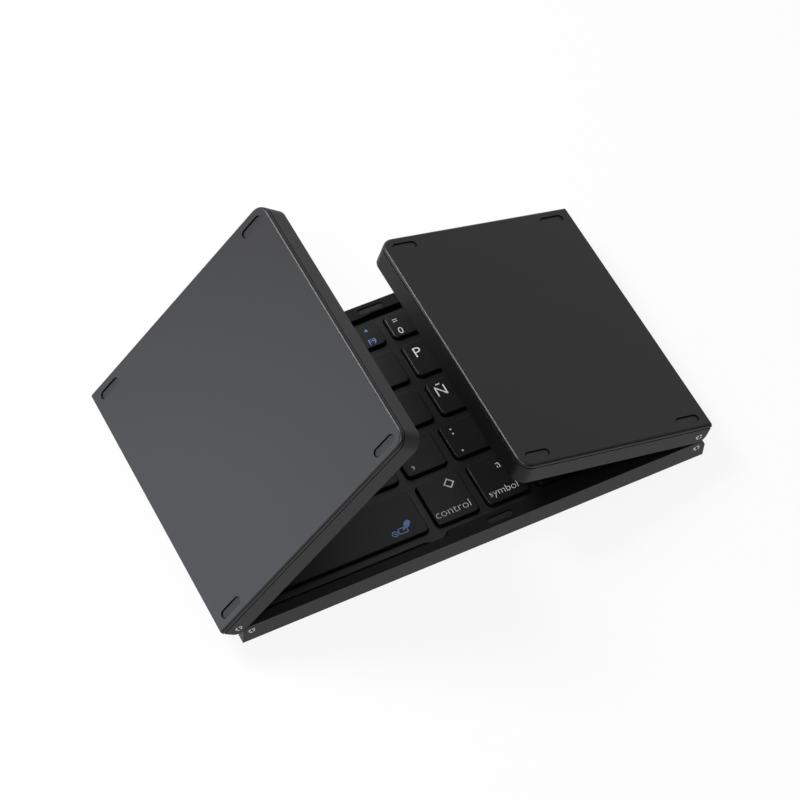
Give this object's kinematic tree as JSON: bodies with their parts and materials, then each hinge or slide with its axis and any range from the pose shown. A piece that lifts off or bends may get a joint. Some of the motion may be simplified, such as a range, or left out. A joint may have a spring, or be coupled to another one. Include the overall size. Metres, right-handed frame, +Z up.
{
  "type": "folding keyboard",
  "caption": "Pocket keyboard in three panels: a middle panel with keys, a wing with keys and a wing with a touchpad, which fold over it on double-pivot hinges.",
  "frame": {"origin": "centre of the middle panel's underside, on the desk", "axes": "+X along the key rows to the touchpad wing, +Y to the back edge with the charging port, +Z up from the desk"},
  "size_m": [0.1732, 0.0986, 0.0785],
  "materials": {
    "frame_plastic": "fine moulded texture",
    "deck_plastic": "satin",
    "bottom_plastic": "fine moulded texture",
    "cover_plastic": "matt paint, fine texture",
    "keycap_plastic": "satin, printed legends",
    "circuit_board": "solder mask",
    "dome_rubber": "silicone",
    "pad_rubber": "matt",
    "port_steel": "stamped shell",
    "switch_plastic": "moulded",
    "light_pipe": "clear moulded",
    "touch_surface": "satin film",
    "battery_pouch": "laminated foil",
    "magnet_nickel": "nickel plate",
    "screw_steel": "zinc plate",
    "pivot_steel": "nickel plate",
    "link_steel": "stamped",
    "flex_film": "polyimide film"
  },
  "bodies": {
    "base": {"base_frame": "frame_plastic", "base_key_plate": "deck_plastic", "base_cover": "bottom_plastic", "base_switch_board": "circuit_board", "base_key_domes": "dome_rubber", "controller_board": "circuit_board", "charge_port": "port_steel", "power_switch": "switch_plastic", "status_light": "light_pipe", "base_foot_pads": "pad_rubber", "base_rim_pads": "pad_rubber", "base_magnets": "magnet_nickel", "base_cover_screws": "screw_steel", "base_pivot_screws": "pivot_steel"},
    "power_slider": {"power_slider": "switch_plastic"},
    "left_link": {"left_hinge_links": "link_steel", "left_flex_cable": "flex_film"},
    "left_wing": {"left_cover": "cover_plastic", "left_frame": "frame_plastic", "left_key_plate": "deck_plastic", "left_switch_board": "circuit_board", "left_key_domes": "dome_rubber", "left_foot_pads": "pad_rubber", "left_magnets": "magnet_nickel", "left_cover_screws": "screw_steel", "left_pivot_screws": "pivot_steel"},
    "right_link": {"right_hinge_links": "link_steel", "right_flex_cable": "flex_film"},
    "right_wing": {"right_cover": "cover_plastic", "right_frame": "frame_plastic", "touchpad_bezel": "deck_plastic", "touchpad": "touch_surface", "touchpad_board": "circuit_board", "battery": "battery_pouch", "right_foot_pads": "pad_rubber", "right_magnets": "magnet_nickel", "right_cover_screws": "screw_steel", "right_pivot_screws": "pivot_steel"},
    "key_9": {"key_9": "keycap_plastic"},
    "key_0": {"key_0": "keycap_plastic"},
    "key_o": {"key_o": "keycap_plastic"},
    "key_p": {"key_p": "keycap_plastic"},
    "key_l": {"key_l": "keycap_plastic"},
    "key_enye": {"key_enye": "keycap_plastic"},
    "key_comma": {"key_comma": "keycap_plastic"},
    "key_period": {"key_period": "keycap_plastic"},
    "key_space": {"key_space": "keycap_plastic"},
    "key_ctrl": {"key_ctrl": "keycap_plastic"},
    "key_alt": {"key_alt": "keycap_plastic"},
    "base_number_keys": {"base_number_keys": "keycap_plastic"},
    "base_upper_keys": {"base_upper_keys": "keycap_plastic"},
    "base_home_keys": {"base_home_keys": "keycap_plastic"},
    "base_lower_keys": {"base_lower_keys": "keycap_plastic"},
    "base_space_row_keys": {"base_space_row_keys": "keycap_plastic"},
    "left_number_keys": {"left_number_keys": "keycap_plastic"},
    "left_upper_keys": {"left_upper_keys": "keycap_plastic"},
    "left_home_keys": {"left_home_keys": "keycap_plastic"},
    "left_lower_keys": {"left_lower_keys": "keycap_plastic"},
    "left_space_row_keys": {"left_space_row_keys": "keycap_plastic"}
  },
  "joints": [
    {"name": "left_link_hinge", "type": "hinge", "parent": "base", "child": "left_link", "pos_m": [-0.07925, 0, 0.0053], "axis": [0, -1, 0], "range_deg": [-45.5, 44.5]},
    {"name": "left_wing_hinge", "type": "hinge", "parent": "left_link", "child": "left_wing", "pos_m": [-0.08367, 0, 0.00965], "axis": [0, -1, 0], "range_deg": [-3.5, 86.5]},
    {"name": "right_link_hinge", "type": "hinge", "parent": "base", "child": "right_link", "pos_m": [0.07925, 0, 0.0053], "axis": [0, 1, 0], "range_deg": [0, 90]},
    {"name": "right_wing_hinge", "type": "hinge", "parent": "right_link", "child": "right_wing", "pos_m": [0.07925, 0, 0.0115], "axis": [0, 1, 0], "range_deg": [-16, 74]},
    {"name": "power_slide", "type": "slide", "parent": "base", "child": "power_slider", "axis": [1, 0, 0], "range_m": [0, 0.0024]},
    {"name": "key_9_press", "type": "slide", "parent": "base", "child": "key_9", "axis": [0, 0, -1], "range_m": [0, 0.0012], "stiffness_N_per_m": 450, "springref_m": -0.0004},
    {"name": "key_0_press", "type": "slide", "parent": "base", "child": "key_0", "axis": [0, 0, -1], "range_m": [0, 0.0012], "stiffness_N_per_m": 450, "springref_m": -0.0004},
    {"name": "key_o_press", "type": "slide", "parent": "base", "child": "key_o", "axis": [0, 0, -1], "range_m": [0, 0.0012], "stiffness_N_per_m": 450, "springref_m": -0.0004},
    {"name": "key_p_press", "type": "slide", "parent": "base", "child": "key_p", "axis": [0, 0, -1], "range_m": [0, 0.0012], "stiffness_N_per_m": 450, "springref_m": -0.0004},
    {"name": "key_l_press", "type": "slide", "parent": "base", "child": "key_l", "axis": [0, 0, -1], "range_m": [0, 0.0012], "stiffness_N_per_m": 450, "springref_m": -0.0004},
    {"name": "key_enye_press", "type": "slide", "parent": "base", "child": "key_enye", "axis": [0, 0, -1], "range_m": [0, 0.0012], "stiffness_N_per_m": 450, "springref_m": -0.0004},
    {"name": "key_comma_press", "type": "slide", "parent": "base", "child": "key_comma", "axis": [0, 0, -1], "range_m": [0, 0.0012], "stiffness_N_per_m": 450, "springref_m": -0.0004},
    {"name": "key_period_press", "type": "slide", "parent": "base", "child": "key_period", "axis": [0, 0, -1], "range_m": [0, 0.0012], "stiffness_N_per_m": 450, "springref_m": -0.0004},
    {"name": "key_space_press", "type": "slide", "parent": "base", "child": "key_space", "axis": [0, 0, -1], "range_m": [0, 0.0012], "stiffness_N_per_m": 450, "springref_m": -0.0004},
    {"name": "key_ctrl_press", "type": "slide", "parent": "base", "child": "key_ctrl", "axis": [0, 0, -1], "range_m": [0, 0.0012], "stiffness_N_per_m": 450, "springref_m": -0.0004},
    {"name": "key_alt_press", "type": "slide", "parent": "base", "child": "key_alt", "axis": [0, 0, -1], "range_m": [0, 0.0012], "stiffness_N_per_m": 450, "springref_m": -0.0004},
    {"name": "base_number_keys_press", "type": "slide", "parent": "base", "child": "base_number_keys", "axis": [0, 0, -1], "range_m": [0, 0.0012], "stiffness_N_per_m": 450, "springref_m": -0.0004},
    {"name": "base_upper_keys_press", "type": "slide", "parent": "base", "child": "base_upper_keys", "axis": [0, 0, -1], "range_m": [0, 0.0012], "stiffness_N_per_m": 450, "springref_m": -0.0004},
    {"name": "base_home_keys_press", "type": "slide", "parent": "base", "child": "base_home_keys", "axis": [0, 0, -1], "range_m": [0, 0.0012], "stiffness_N_per_m": 450, "springref_m": -0.0004},
    {"name": "base_lower_keys_press", "type": "slide", "parent": "base", "child": "base_lower_keys", "axis": [0, 0, -1], "range_m": [0, 0.0012], "stiffness_N_per_m": 450, "springref_m": -0.0004},
    {"name": "base_space_row_keys_press", "type": "slide", "parent": "base", "child": "base_space_row_keys", "axis": [0, 0, -1], "range_m": [0, 0.0012], "stiffness_N_per_m": 450, "springref_m": -0.0004},
    {"name": "left_number_keys_press", "type": "slide", "parent": "left_wing", "child": "left_number_keys", "axis": [-0.7547, 0, 0.6561], "range_m": [0, 0.0012], "stiffness_N_per_m": 450, "springref_m": -0.0004},
    {"name": "left_upper_keys_press", "type": "slide", "parent": "left_wing", "child": "left_upper_keys", "axis": [-0.7547, 0, 0.6561], "range_m": [0, 0.0012], "stiffness_N_per_m": 450, "springref_m": -0.0004},
    {"name": "left_home_keys_press", "type": "slide", "parent": "left_wing", "child": "left_home_keys", "axis": [-0.7547, 0, 0.6561], "range_m": [0, 0.0012], "stiffness_N_per_m": 450, "springref_m": -0.0004},
    {"name": "left_lower_keys_press", "type": "slide", "parent": "left_wing", "child": "left_lower_keys", "axis": [-0.7547, 0, 0.6561], "range_m": [0, 0.0012], "stiffness_N_per_m": 450, "springref_m": -0.0004},
    {"name": "left_space_row_keys_press", "type": "slide", "parent": "left_wing", "child": "left_space_row_keys", "axis": [-0.7547, 0, 0.6561], "range_m": [0, 0.0012], "stiffness_N_per_m": 450, "springref_m": -0.0004}
  ]
}
